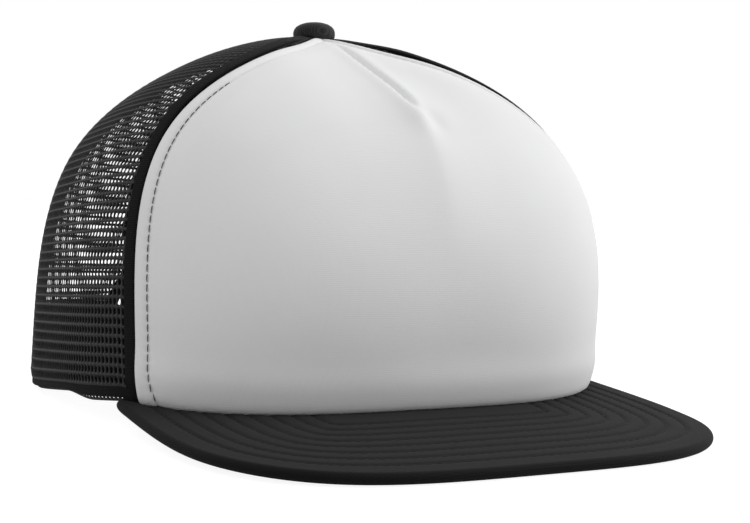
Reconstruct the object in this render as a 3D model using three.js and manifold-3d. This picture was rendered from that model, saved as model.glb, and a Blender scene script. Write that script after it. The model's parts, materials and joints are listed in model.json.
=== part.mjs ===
// Trucker mesh cap: foam-fronted five-panel crown, flat bill, covered button and a plastic snap strap.
// Millimetres, +Z up. The bill points to -Y and the wearer's left is +X.
// The crown is first described in its own frame, where its lower edge lies at z = 0. The whole cap is
// then leaned back by REST_LEAN, so that it stands on the bill's front edge and the back of the crown.

import * as THREE from 'three';
import * as BufferGeometryUtils from 'three/addons/utils/BufferGeometryUtils.js';
import Module from 'manifold-3d';

const wasm = await Module();
wasm.setup();

// ---------- driving dimensions ----------

// Crown: half width, front and back half lengths, height and how far the top sits behind the middle.
const CROWN_HALF_WIDTH = 99.6;
const CROWN_FRONT = 98.5;
const CROWN_BACK = 102.9;
const CROWN_HEIGHT = 127;
const CROWN_TOP_SHIFT = -15.6;
const FRONT_SQUARENESS = 2.9;
const BACK_SQUARENESS = 2.1;
// Upright profile of each side: p rounds the shoulder, q rounds the top, bulge swells the wall in percent.
const FRONT_PROFILE = { p: 2.9, q: 1.3, bulge: 10 };
const SIDE_PROFILE = { p: 3.9, q: 1.7, bulge: -1.6 };
const BACK_PROFILE = { p: 2.4, q: 2.0, bulge: -2.6 };

// Seams between the panels, in degrees from straight ahead.
const FRONT_SEAM = [51.4, -1.6, 9.7, -32.1];
const SIDE_SEAM = 115;
const SEAM_GAP = 0.35;
const PANEL_TOP_RADIUS = 4;

// Fabrics, as distances below the crown's outer surface.
const FACE_THICKNESS = 1.0;
const FOAM_TOP = 1.6;
const FOAM_BOTTOM = 4.1;
const FOAM_TOP_RADIUS = 9;
const MESH_THICKNESS = 1.2;
const TAPE_TOP = 1.8;
const TAPE_BOTTOM = 2.5;
const TAPE_HALF_WIDTH = 5;
const TAPE_TOP_RADIUS = 13;
const BAND_TOP = 4.9;
const BAND_BOTTOM = 6.1;
const BAND_HEIGHT = 27;
const BAND_LIFT = 1.2;

// Opening at the back, an arch with a binding round its edge.
const ARCH_HALF_ANGLE = 28.5;
const ARCH_HEIGHT = 50;
const ARCH_SQUARENESS = 0.75;
const BINDING_WIDTH = 3.6;

// Bill.
const BILL_HALF_WIDTH = 90.5;
const BILL_REACH = 159;
const BILL_CORNER_Y = -68;
const BILL_HINGE_Y = -62;
const BILL_SQUARENESS = 3.5;
const BILL_TILT = THREE.MathUtils.degToRad(8.0);
const BILL_DROP = 0.6;
const BILL_FABRIC = 0.6;
const BILL_BOARD = 1.8;
const BILL_GAP = 0.2;
const BILL_ROOT_INSET = 4;
const REST_LEAN = THREE.MathUtils.degToRad(4.05);

// Button at the top.
const BUTTON_RADIUS = 7.9;
const BUTTON_HEIGHT = 4.9;
const BUTTON_LIFT = 0.3;

// Snap strap.
const STRAP_HINGE_X = 41.5;
const STRAP_HINGE_Y = 92.4;
const STRAP_THICKNESS = 1.3;
const STRAP_BOTTOM = 3;
const STRAP_WIDTH = 17;
const STRAP_FLAT_HALF = 30;
const STRAP_END = 23.2;
const PEG_STRAP_Y = 95;
const HOLE_STRAP_Y = 96.7;
const SNAP_COUNT = 7;
const SNAP_PITCH = 7.6;
const FIRST_HOLE_X = 27;
const FIRST_PEG_X = 26.2;
const PEG_RADIUS = 1.7;
const HOLE_RADIUS = 2.3;
const PEG_LENGTH = 3.2;

// ---------- crown surface ----------

const radians = THREE.MathUtils.degToRad;

// Height of the crown's lower edge: level at the back and sides, sloping down with the bill in front.
function edgeHeight(y) {
  return -Math.tan(BILL_TILT) * Math.max(0, BILL_HINGE_Y - y);
}

// Distance from the upright axis to the crown's lower edge in the direction angle.
function edgeRadius(angle) {
  const sine = Math.abs(Math.sin(angle));
  const cosine = Math.cos(angle);
  const length = cosine > 0 ? CROWN_FRONT : CROWN_BACK;
  const power = cosine > 0 ? FRONT_SQUARENESS : BACK_SQUARENESS;
  const sum = (sine / CROWN_HALF_WIDTH) ** power + (Math.abs(cosine) / length) ** power;
  return sum ** (-1 / power);
}

// Blend of the front, side and back profiles in the direction angle.
function profileAt(angle) {
  const across = Math.sin(angle) ** 2;
  const along = Math.cos(angle) ** 2;
  const end = Math.cos(angle) > 0 ? FRONT_PROFILE : BACK_PROFILE;
  return {
    p: along * end.p + across * SIDE_PROFILE.p,
    q: along * end.q + across * SIDE_PROFILE.q,
    bulge: along * end.bulge + across * SIDE_PROFILE.bulge,
  };
}

// Point on the crown's outer surface: angle from straight ahead, level 0 at the edge and 1 at the top.
function crownPoint(angle, level) {
  const profile = profileAt(angle);
  const dome = Math.max(0, 1 - level ** profile.p) ** (1 / profile.q);
  const swell = 1 + 0.04 * profile.bulge * level * (1 - level);
  const radius = edgeRadius(angle);
  const x = radius * Math.sin(angle);
  const y = -radius * Math.cos(angle);
  const low = edgeHeight(y);
  return new THREE.Vector3(
    x * dome * swell,
    y * dome * swell + CROWN_TOP_SHIFT * level ** 2,
    low + (CROWN_HEIGHT - low) * level,
  );
}

// Outward direction of the crown's surface.
function crownNormal(angle, level) {
  const step = 0.001;
  const low = Math.max(0, level - step);
  const high = Math.min(0.9999, level + step);
  const round = crownPoint(angle + step, level).sub(crownPoint(angle - step, level));
  const up = crownPoint(angle, high).sub(crownPoint(angle, low));
  return round.cross(up).normalize();
}

// Point at a depth below the crown's outer surface.
function crownInside(angle, level, depth) {
  return crownPoint(angle, level).addScaledVector(crownNormal(angle, level), -depth);
}

// Level at which the crown has closed in to a radius round its top.
function levelAtRadius(angle, radius) {
  const profile = profileAt(angle);
  const dome = radius / edgeRadius(angle);
  return (1 - dome ** profile.q) ** (1 / profile.p);
}

// Level of a height above the crown's lower edge.
function levelAtHeight(angle, height) {
  const low = edgeHeight(-edgeRadius(angle) * Math.cos(angle));
  return height / (CROWN_HEIGHT - low);
}

// Angle of the front seam at a level.
function frontSeam(level) {
  const [a, b, c, d] = FRONT_SEAM;
  return radians(a + b * level + c * level ** 2 + d * level ** 6);
}

// Angle that spans a width in millimetres at a place on the crown.
function angleOf(width, angle, level) {
  const place = crownPoint(angle, level);
  return width / Math.hypot(place.x, place.y - CROWN_TOP_SHIFT * level ** 2);
}

// Spreads v evenly over the wall's curve between two levels, closer together towards the top.
function spreadLevel(low, high, v) {
  const start = Math.asin(low);
  const end = Math.asin(high);
  return Math.sin(start + (end - start) * v);
}

// ---------- closed sheets ----------

// Closed sheet between two depths below the crown. place(u, v) gives [angle, level] for u, v in 0..1.
function crownSheet(place, columns, rows, top, bottom) {
  const positions = [];
  for (const depth of [top, bottom]) {
    for (let row = 0; row <= rows; row += 1) {
      for (let column = 0; column <= columns; column += 1) {
        const [angle, level] = place(column / columns, row / rows);
        const point = crownInside(angle, level, depth);
        positions.push(point.x, point.y, point.z);
      }
    }
  }
  const width = columns + 1;
  const layer = width * (rows + 1);
  const indices = [];
  const quad = (a, b, c, d) => indices.push(a, b, c, a, c, d);
  for (let row = 0; row < rows; row += 1) {
    for (let column = 0; column < columns; column += 1) {
      const corner = row * width + column;
      quad(corner, corner + 1, corner + 1 + width, corner + width);
      quad(layer + corner, layer + corner + width, layer + corner + 1 + width, layer + corner + 1);
    }
  }
  for (let column = 0; column < columns; column += 1) {
    const low = column;
    const high = rows * width + column;
    quad(low + 1, low, layer + low, layer + low + 1);
    quad(high, high + 1, layer + high + 1, layer + high);
  }
  for (let row = 0; row < rows; row += 1) {
    const first = row * width;
    const last = row * width + columns;
    quad(first, first + width, layer + first + width, layer + first);
    quad(last + width, last, layer + last, layer + last + width);
  }
  const geometry = new THREE.BufferGeometry();
  geometry.setAttribute('position', new THREE.Float32BufferAttribute(positions, 3));
  geometry.setIndex(indices);
  geometry.computeVertexNormals();
  return geometry;
}

// Mirror image of a geometry across the cap's middle plane.
function mirrored(geometry) {
  const copy = geometry.clone();
  copy.scale(-1, 1, 1);
  const index = copy.getIndex().array;
  for (let i = 0; i < index.length; i += 3) {
    [index[i], index[i + 1]] = [index[i + 1], index[i]];
  }
  copy.computeVertexNormals();
  return copy;
}

// ---------- boolean joins ----------

function toSolid(geometry) {
  const plain = geometry.clone();
  plain.deleteAttribute('normal');
  plain.deleteAttribute('uv');
  const merged = BufferGeometryUtils.mergeVertices(plain, 1e-4);
  return new wasm.Manifold(new wasm.Mesh({
    numProp: 3,
    vertProperties: new Float32Array(merged.attributes.position.array),
    triVerts: new Uint32Array(merged.index.array),
  }));
}

function fromSolid(solid) {
  const mesh = solid.getMesh();
  const geometry = new THREE.BufferGeometry();
  geometry.setAttribute('position', new THREE.BufferAttribute(new Float32Array(mesh.vertProperties), 3));
  geometry.setIndex(new THREE.BufferAttribute(new Uint32Array(mesh.triVerts), 1));
  geometry.computeVertexNormals();
  return geometry;
}

// ---------- crown panels ----------

// White front face or its foam: one wide panel between the two front seams.
function frontSheet(top, bottom, topRadius, sideTrim) {
  const place = (u, v) => {
    const side = 2 * u - 1;
    const roughLevel = spreadLevel(0, levelAtRadius(side * frontSeam(0.9), topRadius), v);
    const edge = frontSeam(roughLevel);
    const angle = side * (edge - angleOf(SEAM_GAP + sideTrim, edge, roughLevel));
    const level = spreadLevel(0, levelAtRadius(angle, topRadius), v);
    return [angle, level];
  };
  return crownSheet(place, 20, 18, top, bottom);
}

// Side mesh between the front seam and the side seam.
function sideMesh() {
  const place = (u, v) => {
    const rough = radians(SIDE_SEAM) * u + frontSeam(1) * (1 - u);
    const level = spreadLevel(0, levelAtRadius(rough, PANEL_TOP_RADIUS), v);
    const first = frontSeam(level) + angleOf(SEAM_GAP, frontSeam(level), level);
    const last = radians(SIDE_SEAM) - angleOf(SEAM_GAP, radians(SIDE_SEAM), level);
    return [first + (last - first) * u, level];
  };
  return crownSheet(place, 12, 14, 0, MESH_THICKNESS);
}

// Point on the arch: turn 0 at its foot on the wearer's left and 90 degrees at its crest.
function archPlace(turn, grow) {
  const foot = radians(ARCH_HALF_ANGLE) + angleOf(grow, Math.PI, 0);
  const crest = ARCH_HEIGHT + grow;
  const across = Math.max(0, Math.cos(turn)) ** ARCH_SQUARENESS;
  const up = Math.sin(turn) ** ARCH_SQUARENESS;
  return [Math.PI - foot * across, levelAtHeight(Math.PI, crest) * up];
}

// Back mesh between the side seam and the middle of the back, cut away over the arch.
function backMesh() {
  const sideColumns = 6;
  const archColumns = 9;
  const columns = sideColumns + archColumns;
  const archFoot = archPlace(0, SEAM_GAP)[0];
  const place = (u, v) => {
    const column = Math.round(u * columns);
    const first = radians(SIDE_SEAM);
    let angle = first + (archFoot - first) * (column / sideColumns);
    let low = 0;
    if (column > sideColumns) {
      const turn = (Math.PI / 2) * ((column - sideColumns) / archColumns);
      [angle, low] = archPlace(turn, SEAM_GAP);
    }
    const level = spreadLevel(low, levelAtRadius(angle, PANEL_TOP_RADIUS), v);
    const trim = angleOf(SEAM_GAP, angle, level);
    const least = first + trim;
    const most = Math.PI - trim;
    return [Math.min(most, Math.max(least, angle)), level];
  };
  return crownSheet(place, columns, 12, 0, MESH_THICKNESS);
}

// Folded tape that binds the arch's edge.
function openingBinding() {
  const place = (u, v) => {
    const side = u > 0.5 ? -1 : 1;
    const turn = (Math.PI / 2) * (1 - Math.abs(2 * u - 1));
    const [angle, level] = archPlace(turn, -BINDING_WIDTH * (1 - v));
    return [Math.PI + side * (angle - Math.PI), Math.max(level, 0.0001)];
  };
  return crownSheet(place, 28, 2, -0.4, MESH_THICKNESS + 0.4);
}

// Tape under a seam. centre(level) is the seam's angle; the strip runs from left to right millimetres.
function seamTape(centre, left, right, low) {
  const place = (u, v) => {
    const high = levelAtRadius(centre(0.95), TAPE_TOP_RADIUS);
    const level = spreadLevel(low, high, v);
    const middle = centre(level);
    return [middle + angleOf(left + (right - left) * u, middle, level), level];
  };
  return crownSheet(place, 2, 14, TAPE_TOP, TAPE_BOTTOM);
}

// Sweatband round the inside of the lower edge, from one foot of the arch to the other.
function sweatband() {
  const end = Math.PI - radians(ARCH_HALF_ANGLE) - 0.02;
  const place = (u, v) => {
    const angle = end * (2 * u - 1);
    return [angle, levelAtHeight(angle, BAND_LIFT + (BAND_HEIGHT - BAND_LIFT) * v)];
  };
  return crownSheet(place, 44, 4, BAND_TOP, BAND_BOTTOM);
}

// Blank woven label on the inside of the sweatband.
function blankLabel() {
  const place = (u, v) => {
    const angle = radians(127 + 14 * u);
    return [angle, levelAtHeight(angle, 8 + 14 * v)];
  };
  return crownSheet(place, 4, 2, BAND_BOTTOM + 0.4, BAND_BOTTOM + 1.0);
}

// ---------- bill ----------

// Bill outline in its own plane, seen from above; trim draws the front and side edges inwards.
function billOutline(trim) {
  const points = [];
  const scale = 1 / Math.cos(BILL_TILT);
  const frontSteps = 40;
  for (let i = 0; i <= frontSteps; i += 1) {
    const turn = Math.PI * (i / frontSteps);
    const power = 2 / BILL_SQUARENESS;
    const x = (BILL_HALF_WIDTH - trim) * Math.sign(Math.cos(turn)) * Math.abs(Math.cos(turn)) ** power;
    const reach = (BILL_REACH + BILL_CORNER_Y - trim) * Math.sin(turn) ** power;
    points.push([x, BILL_CORNER_Y - reach]);
  }
  const rear = edgeRadius(rootAngle());
  const rearX = rear * Math.sin(rootAngle());
  const corner = [[0.985, 0.45], [0.955, 0.85], [0.93, 1]];
  const back = corner.map(([across, up]) => [
    Math.max(rearX - 1, (BILL_HALF_WIDTH - trim) * across),
    BILL_CORNER_Y + (BILL_HINGE_Y - 0.4 - BILL_CORNER_Y) * up,
  ]);
  for (const [x, y] of back) {
    points.push([-x, y]);
  }
  const rootSteps = 28;
  for (let i = 0; i <= rootSteps; i += 1) {
    const angle = rootAngle() * (2 * (i / rootSteps) - 1);
    const radius = edgeRadius(angle) - BILL_ROOT_INSET;
    points.push([radius * Math.sin(angle), Math.min(BILL_HINGE_Y - 0.4, -radius * Math.cos(angle))]);
  }
  for (const [x, y] of back.slice().reverse()) {
    points.push([x, y]);
  }
  const flat = points.map(([x, y]) => new THREE.Vector2(x, (y - BILL_HINGE_Y) * scale));
  return new THREE.Shape(flat);
}

// Direction in which the crown's lower edge crosses the bill's rear end.
function rootAngle() {
  let low = radians(30);
  let high = radians(80);
  for (let i = 0; i < 40; i += 1) {
    const middle = (low + high) / 2;
    if (-edgeRadius(middle) * Math.cos(middle) < BILL_HINGE_Y) {
      low = middle;
    } else {
      high = middle;
    }
  }
  return low;
}

// Flat layer of the bill between two depths below its top face.
function billLayer(trim, top, bottom) {
  const layer = new THREE.ExtrudeGeometry(billOutline(trim), { depth: bottom - top, bevelEnabled: false });
  layer.translate(0, 0, -bottom);
  return layer;
}

// Top fabric: a flat sheet whose edge turns down over the board.
function billTopFabric() {
  const whole = billLayer(0, 0, BILL_FABRIC + BILL_GAP + BILL_BOARD);
  const hollow = billLayer(BILL_FABRIC, BILL_FABRIC, 20);
  const rear = billLayer(BILL_FABRIC, BILL_FABRIC, 20);
  rear.translate(0, 6, 0);
  return fromSolid(toSolid(whole).subtract(toSolid(hollow)).subtract(toSolid(rear)));
}

// Tips a flat bill layer down to the bill's slope, just below the crown's lower edge.
function placeOnBill(geometry) {
  geometry.rotateX(BILL_TILT);
  geometry.translate(0, BILL_HINGE_Y, -BILL_DROP);
  return geometry;
}

// ---------- button ----------

// Turned piece about the crown's top; the profile is a list of [radius, height] from the top's level.
function turned(profile, segments = 36) {
  const points = profile.map(([radius, height]) => new THREE.Vector2(radius, height));
  const geometry = new THREE.LatheGeometry(points, segments);
  geometry.rotateX(Math.PI / 2);
  geometry.translate(0, CROWN_TOP_SHIFT, CROWN_HEIGHT);
  return geometry;
}

// Arc of a flattened dome from its rim to its axis.
function domeArc(radius, height, base, steps) {
  const arc = [];
  for (let i = 0; i <= steps; i += 1) {
    const turn = (Math.PI / 2) * (i / steps);
    arc.push([radius * Math.cos(turn), base + height * Math.sin(turn)]);
  }
  return arc;
}

// Domed cup open underneath: an outer and an inner arc joined at the rim.
function domeCup(radius, height, thickness, base) {
  const outer = domeArc(radius, height, base, 6);
  const inner = domeArc(radius - thickness, height - thickness, base, 6).reverse();
  return turned([...inner, ...outer], 28);
}

function buttonCover() {
  return domeCup(BUTTON_RADIUS, BUTTON_HEIGHT, 0.9, BUTTON_LIFT);
}

function buttonShell() {
  return domeCup(BUTTON_RADIUS - 1.2, BUTTON_HEIGHT - 1.2, 0.6, BUTTON_LIFT);
}

function buttonRivet() {
  return turned([[0, -6], [3.2, -6], [3.2, -5.2], [1.2, -5.2], [1.2, 2.4], [0, 2.4]], 24);
}

function buttonWasher() {
  return turned([[1.7, -4.8], [6.4, -4.8], [6.4, -3.9], [1.7, -3.9], [1.7, -4.8]], 28);
}

// ---------- snap strap ----------

// Free part of a strap with its root at +X: a rounded root on the hinge line, a slope and a flat end.
function strapBody(flatY) {
  const half = STRAP_THICKNESS / 2;
  const shape = new THREE.Shape();
  shape.moveTo(STRAP_FLAT_HALF, flatY + half);
  shape.lineTo(-STRAP_END, flatY + half);
  shape.lineTo(-STRAP_END, flatY - half);
  shape.lineTo(STRAP_FLAT_HALF, flatY - half);
  const steps = 8;
  const slope = Math.atan2(flatY - STRAP_HINGE_Y, STRAP_HINGE_X - STRAP_FLAT_HALF);
  for (let i = 0; i <= steps; i += 1) {
    const turn = -Math.PI / 2 - slope + Math.PI * (i / steps);
    shape.lineTo(STRAP_HINGE_X + half * Math.cos(turn), STRAP_HINGE_Y + half * Math.sin(turn));
  }
  shape.closePath();
  const body = new THREE.ExtrudeGeometry(shape, { depth: STRAP_WIDTH, bevelEnabled: false });
  body.translate(0, 0, STRAP_BOTTOM);
  return toSolid(body);
}

// Upright-to-Y cylinder at a snap position on the strap's middle line.
function snapCylinder(x, y, radius, length) {
  const cylinder = new THREE.CylinderGeometry(radius, radius, length, 16);
  cylinder.translate(x, y + length / 2, STRAP_BOTTOM + STRAP_WIDTH / 2);
  return toSolid(cylinder);
}

// Block that rounds the strap's free end when cut from it.
function endRounding() {
  const block = new THREE.BoxGeometry(STRAP_WIDTH, 20, STRAP_WIDTH + 8);
  block.translate(-STRAP_END, HOLE_STRAP_Y, STRAP_BOTTOM + STRAP_WIDTH / 2);
  const round = new THREE.CylinderGeometry(STRAP_WIDTH / 2, STRAP_WIDTH / 2, 30, 24);
  round.translate(-STRAP_END + STRAP_WIDTH / 2, HOLE_STRAP_Y, STRAP_BOTTOM + STRAP_WIDTH / 2);
  return toSolid(block).subtract(toSolid(round));
}

// Outer strap with its row of holes.
function holeStrap() {
  let solid = strapBody(HOLE_STRAP_Y).subtract(endRounding());
  for (let i = 0; i < SNAP_COUNT; i += 1) {
    const x = FIRST_HOLE_X - SNAP_PITCH * i;
    solid = solid.subtract(snapCylinder(x, HOLE_STRAP_Y - 3, HOLE_RADIUS, 6));
  }
  return fromSolid(solid);
}

// Inner strap with its row of pegs; its root is on the other side, so it is built mirrored.
function pegStrap() {
  let solid = strapBody(PEG_STRAP_Y).subtract(endRounding());
  for (let i = 0; i < SNAP_COUNT; i += 1) {
    const x = FIRST_PEG_X - SNAP_PITCH * i;
    solid = solid.add(snapCylinder(x, PEG_STRAP_Y, PEG_RADIUS, STRAP_THICKNESS / 2 + PEG_LENGTH));
  }
  return mirrored(fromSolid(solid));
}

// Sewn root of a strap, between the mesh and the sweatband, beside the hinge line.
function strapTab() {
  const near = Math.PI - Math.asin((STRAP_HINGE_X + 1.1) / 102);
  const place = (u, v) => {
    const angle = near - radians(8) * (1 - u);
    return [angle, levelAtHeight(angle, STRAP_BOTTOM + STRAP_WIDTH * v)];
  };
  return crownSheet(place, 3, 2, 1.65, 1.65 + STRAP_THICKNESS);
}

// ---------- materials ----------

function fabric(color, roughness) {
  return new THREE.MeshStandardMaterial({ color, roughness, metalness: 0 });
}

const white = fabric(0xe9e9e8, 0.8);
const foamGrey = fabric(0xd8d6cf, 0.95);
const blackMesh = fabric(0x1b1b1c, 0.75);
const blackFabric = fabric(0x1e1e20, 0.9);
const blackTape = fabric(0x202022, 0.92);
const bandBlack = fabric(0x242426, 0.95);
const boardGrey = new THREE.MeshStandardMaterial({ color: 0x8d8f8e, roughness: 0.6, metalness: 0 });
const strapBlack = new THREE.MeshStandardMaterial({ color: 0x161617, roughness: 0.4, metalness: 0 });
const steel = new THREE.MeshStandardMaterial({ color: 0xb8bbbd, roughness: 0.35, metalness: 1 });
const labelBlack = fabric(0x2c2c2e, 0.85);

// ---------- assembly ----------

const group = new THREE.Group();
const cap = new THREE.Group();
group.add(cap);

function add(name, geometry, material) {
  const mesh = new THREE.Mesh(geometry, material);
  mesh.name = name;
  cap.add(mesh);
}

function addPair(name, geometry, material) {
  add(`${name}_left`, geometry, material);
  add(`${name}_right`, mirrored(geometry), material);
}

add('front_panel', frontSheet(0, FACE_THICKNESS, PANEL_TOP_RADIUS, 0), white);
add('front_foam', frontSheet(FOAM_TOP, FOAM_BOTTOM, FOAM_TOP_RADIUS, 4), foamGrey);
addPair('side_mesh', sideMesh(), blackMesh);
addPair('back_mesh', backMesh(), blackMesh);
addPair('front_seam_tape', seamTape(frontSeam, 0.4, 5.4, 0.3), blackTape);
addPair('side_seam_tape', seamTape(() => radians(SIDE_SEAM), -TAPE_HALF_WIDTH, TAPE_HALF_WIDTH, 0.3), blackTape);
add('back_seam_tape', seamTape(() => Math.PI, -TAPE_HALF_WIDTH, TAPE_HALF_WIDTH, 0.44), blackTape);
add('sweatband', sweatband(), bandBlack);
add('blank_label', blankLabel(), labelBlack);
add('opening_binding', openingBinding(), blackTape);

const underTop = BILL_FABRIC + BILL_GAP + BILL_BOARD + BILL_GAP;
add('bill_top_fabric', placeOnBill(billTopFabric()), blackFabric);
add('bill_board', placeOnBill(billLayer(
  BILL_FABRIC + BILL_GAP,
  BILL_FABRIC + BILL_GAP,
  BILL_FABRIC + BILL_GAP + BILL_BOARD,
)), boardGrey);
add('bill_under_fabric', placeOnBill(billLayer(0, underTop, underTop + BILL_FABRIC)), blackFabric);

add('button_cover', buttonCover(), blackFabric);
add('button_shell', buttonShell(), steel);
add('button_rivet', buttonRivet(), steel);
add('button_washer', buttonWasher(), steel);

add('hole_strap', holeStrap(), strapBlack);
add('peg_strap', pegStrap(), strapBlack);
add('hole_strap_tab', strapTab(), strapBlack);
add('peg_strap_tab', mirrored(strapTab()), strapBlack);

// Stand the cap on its bill and the back of the crown, with the origin under the middle of its box.
cap.rotation.x = -REST_LEAN;
group.updateMatrixWorld(true);
const box = new THREE.Box3().setFromObject(cap, true);
cap.position.set(-(box.min.x + box.max.x) / 2, -(box.min.y + box.max.y) / 2, -box.min.z);

export default group;
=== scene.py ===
"""Looks of the trucker mesh cap: foam-fronted crown, open net, quilted flat bill, button and snap strap.

Shapes are worked out in millimetres in the crown's own frame, where the crown's lower edge lies at z = 0,
the bill points to -Y and the wearer's left is +X. to_frame() then leans them back and scales them to metres.
A place on the crown is an angle round it, 0 at the front, a level from 0 at the lower edge to 1 at the top,
and a depth below its outer surface.
"""

import json
import math

import bpy
import numpy as np
from mathutils import Matrix, Vector


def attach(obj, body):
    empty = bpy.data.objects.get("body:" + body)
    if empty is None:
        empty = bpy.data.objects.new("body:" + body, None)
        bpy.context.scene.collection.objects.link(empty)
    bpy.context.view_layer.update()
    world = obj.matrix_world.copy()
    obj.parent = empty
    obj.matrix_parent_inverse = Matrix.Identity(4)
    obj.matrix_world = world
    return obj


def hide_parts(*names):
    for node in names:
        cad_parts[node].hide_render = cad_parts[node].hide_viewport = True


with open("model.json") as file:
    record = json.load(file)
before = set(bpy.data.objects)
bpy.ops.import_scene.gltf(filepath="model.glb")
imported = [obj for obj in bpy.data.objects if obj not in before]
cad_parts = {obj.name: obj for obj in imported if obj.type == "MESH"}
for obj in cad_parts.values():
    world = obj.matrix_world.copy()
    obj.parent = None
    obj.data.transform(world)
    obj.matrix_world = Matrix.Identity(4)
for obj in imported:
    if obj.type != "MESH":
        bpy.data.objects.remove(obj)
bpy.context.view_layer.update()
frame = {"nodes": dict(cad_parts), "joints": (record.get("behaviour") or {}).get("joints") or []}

# ---------- driving dimensions, in millimetres and degrees ----------

CROWN_HALF_WIDTH = 99.6
CROWN_FRONT = 98.5
CROWN_BACK = 102.9
CROWN_HEIGHT = 127.0
CROWN_TOP_SHIFT = -15.6
FRONT_SQUARENESS = 2.9
BACK_SQUARENESS = 2.1
# Upright profiles as (shoulder roundness, top roundness, wall bulge in percent).
FRONT_PROFILE = (2.9, 1.3, 10.0)
SIDE_PROFILE = (3.9, 1.7, -1.6)
BACK_PROFILE = (2.4, 2.0, -2.6)
# The lower edge sinks this far into the bill's cloth, and hangs this far down at the sides.
EDGE_SINK = 1.1
SIDE_HANG = 3.8
HANG_ANGLE = 108
HANG_SPREAD = 33

# The front seam's angle as a + b level + c level^2 + d level^6.
FRONT_SEAM = (51.4, -1.6, 9.7, -32.1)
SIDE_SEAM = 115.0
# The front panel laps this far over its seams, at about this radius.
SEAM_OVERLAP = 0.6
SEAM_RADIUS = 90
SEAM_TOP = 0.9925
SIDE_SEAM_FOOT = 0.012
SELVEDGE_RISE = 0.9
RIDGE_PROFILE = (-2.6, 2.6, 0.1, -1.3)
INNER_TAPE_PROFILE = (-5.5, 5.5, -1.7, -2.4)
HEM_CURL = 3.0
HEM_CURL_HEIGHT = 5
TOP_PATCH_RADII = (15.5, 3.8)

ARCH_HALF_ANGLE = 28.5
ARCH_HEIGHT = 50.0
ARCH_SQUARENESS = 0.75
ARCH_RADIUS = 100
# The net stops this far from the opening's edge, under the binding.
ARCH_CLEAR = 1.0

BAND_HEIGHT = 27.0
BAND_LIFT = 1.2
BAND_DEPTH = 4.9
BAND_THICKNESS = 1.2
BAND_STITCH_HEIGHTS = (23.5, 5)
LABEL_ANGLES = (127, 141)
LABEL_HEIGHTS = (8, 22)

PANEL_CLOTH = 0.8
FOAM_DEPTH = 1.0
FOAM_BACK = 3.6
HEM_WIDTH = 4.7
HEM_STITCH_TOP = 0.79
DART_LEVEL = 0.71
DART_LEAN = 4.0
DART_DEPTH = 1.7
RIDGE_HEIGHT = 3.0

NET_COLUMN = 2.05
NET_ROW = 3.0
NET_HOLE = (1.32, 2.02)
NET_BAR = 0.24
NET_RIB = 0.16
NET_DEPTH = 0.6
NET_MARGIN = 1.0
NET_TOP_GAP = 2
NET_HALF_WIDTH = 75

STITCH_PITCH = 3.0
STITCH_LENGTH = 2.5

BILL_HALF_WIDTH = 90.5
BILL_REACH = 159.0
BILL_CORNER_Y = -68.0
BILL_HINGE_Y = -62.0
BILL_REAR_Y = -60.0
BILL_SQUARENESS = 3.5
BILL_TILT = math.radians(8.0)
# How far the bill's sides hang below its middle line.
BILL_SAG = 1.2
BILL_DROP = 0.6
BILL_THICKNESS = 3.4
BILL_ROOT_INSET = 4.0
BOARD_HEIGHTS = (-0.85, -2.55)
QUILT_FIRST = 8.0
QUILT_PITCH = 6.0
QUILT_ROWS = 8
QUILT_DEPTH = 0.4

# The button's outline as (radius, height over the crown's top).
BUTTON_OUTLINE = (
    (5.6, -1.5), (7.0, -1.5), (7.7, -0.7), (7.9, 0.4), (7.9, 1.5), (7.6, 2.5),
    (6.95, 3.35), (5.8, 4.1), (4.4, 4.62), (2.9, 4.9), (1.4, 5.03), (0.3, 5.06),
)
BUTTON_PLEATS = 16

REST_LEAN = math.radians(4.05)
HINGE_POINT = Vector((41.5, 92.4, 11.5))
STRAP_THICKNESS = 1.3
STRAP_BOTTOM = 3.0
STRAP_WIDTH = 17.0
HOLE_STRAP_Y = 96.7
PEG_STRAP_Y = 95.0
SNAP_COUNT = 7
SNAP_PITCH = 7.6
FIRST_HOLE_X = 27.0
FIRST_PEG_X = 26.2
HOLE_RADIUS = 2.3
PEG_RADIUS = 1.7
PEG_LENGTH = 3.2
ROOT_BEND_OFFSET = 0.95

FLOOR_HALF_SIZE = 6.0
FLOOR_GLOW = 0.9
FLOOR_LIGHT = 0.2
WALL_LIGHT = 0.85
LIGHT_AIM = Vector((0, 0, 0.06))
# Lights as (name, place in metres, diameter in metres, power in watts).
LIGHTS = (
    ("key", (1.25, -0.35, 0.6), 0.9, 9.5),
    ("top", (0.1, 0.1, 1.3), 1.2, 0.8),
)

# The camera's direction, level and roll, what it looks at and from how far, its lens and its shift.
CAMERA_AZIMUTH = math.radians(-26.3)
CAMERA_ELEVATION = math.radians(-3.1)
CAMERA_ROLL = math.radians(-0.1)
CAMERA_TARGET = Vector((0, -20, 60))
CAMERA_DISTANCE = 455.6
CAMERA_LENS = 58.6512
CAMERA_SHIFT = (0.074, -0.0653333)

# The crown's frame inside the cap's frame: the outer strap's hinge is known in both.
hinge = next(joint for joint in frame["joints"] if joint["name"] == "outer_strap_swing")
LEAN = Matrix.Rotation(-REST_LEAN, 4, "X")
SCALE = Matrix.Scale(0.001, 4)
TO_FRAME = Matrix.Translation(Vector(hinge["pos_m"]) - (LEAN @ SCALE @ HINGE_POINT)) @ LEAN @ SCALE


def to_frame(points):
    """Crown-frame millimetres to cap-frame metres, for an array of points."""
    matrix = np.array(TO_FRAME)
    return np.asarray(points) @ matrix[:3, :3].T + matrix[:3, 3]


# ---------- curves ----------

def smooth_step(value, low, high):
    t = np.clip((value - low) / (high - low), 0, 1)
    return t * t * (3 - 2 * t)


def bell(value, centre, width):
    return np.exp(-((value - centre) / width) ** 2)


def fade(value, length):
    """1 at zero, falling straight to 0 at the length."""
    return np.clip(1 - value / length, 0, 1)


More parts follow.
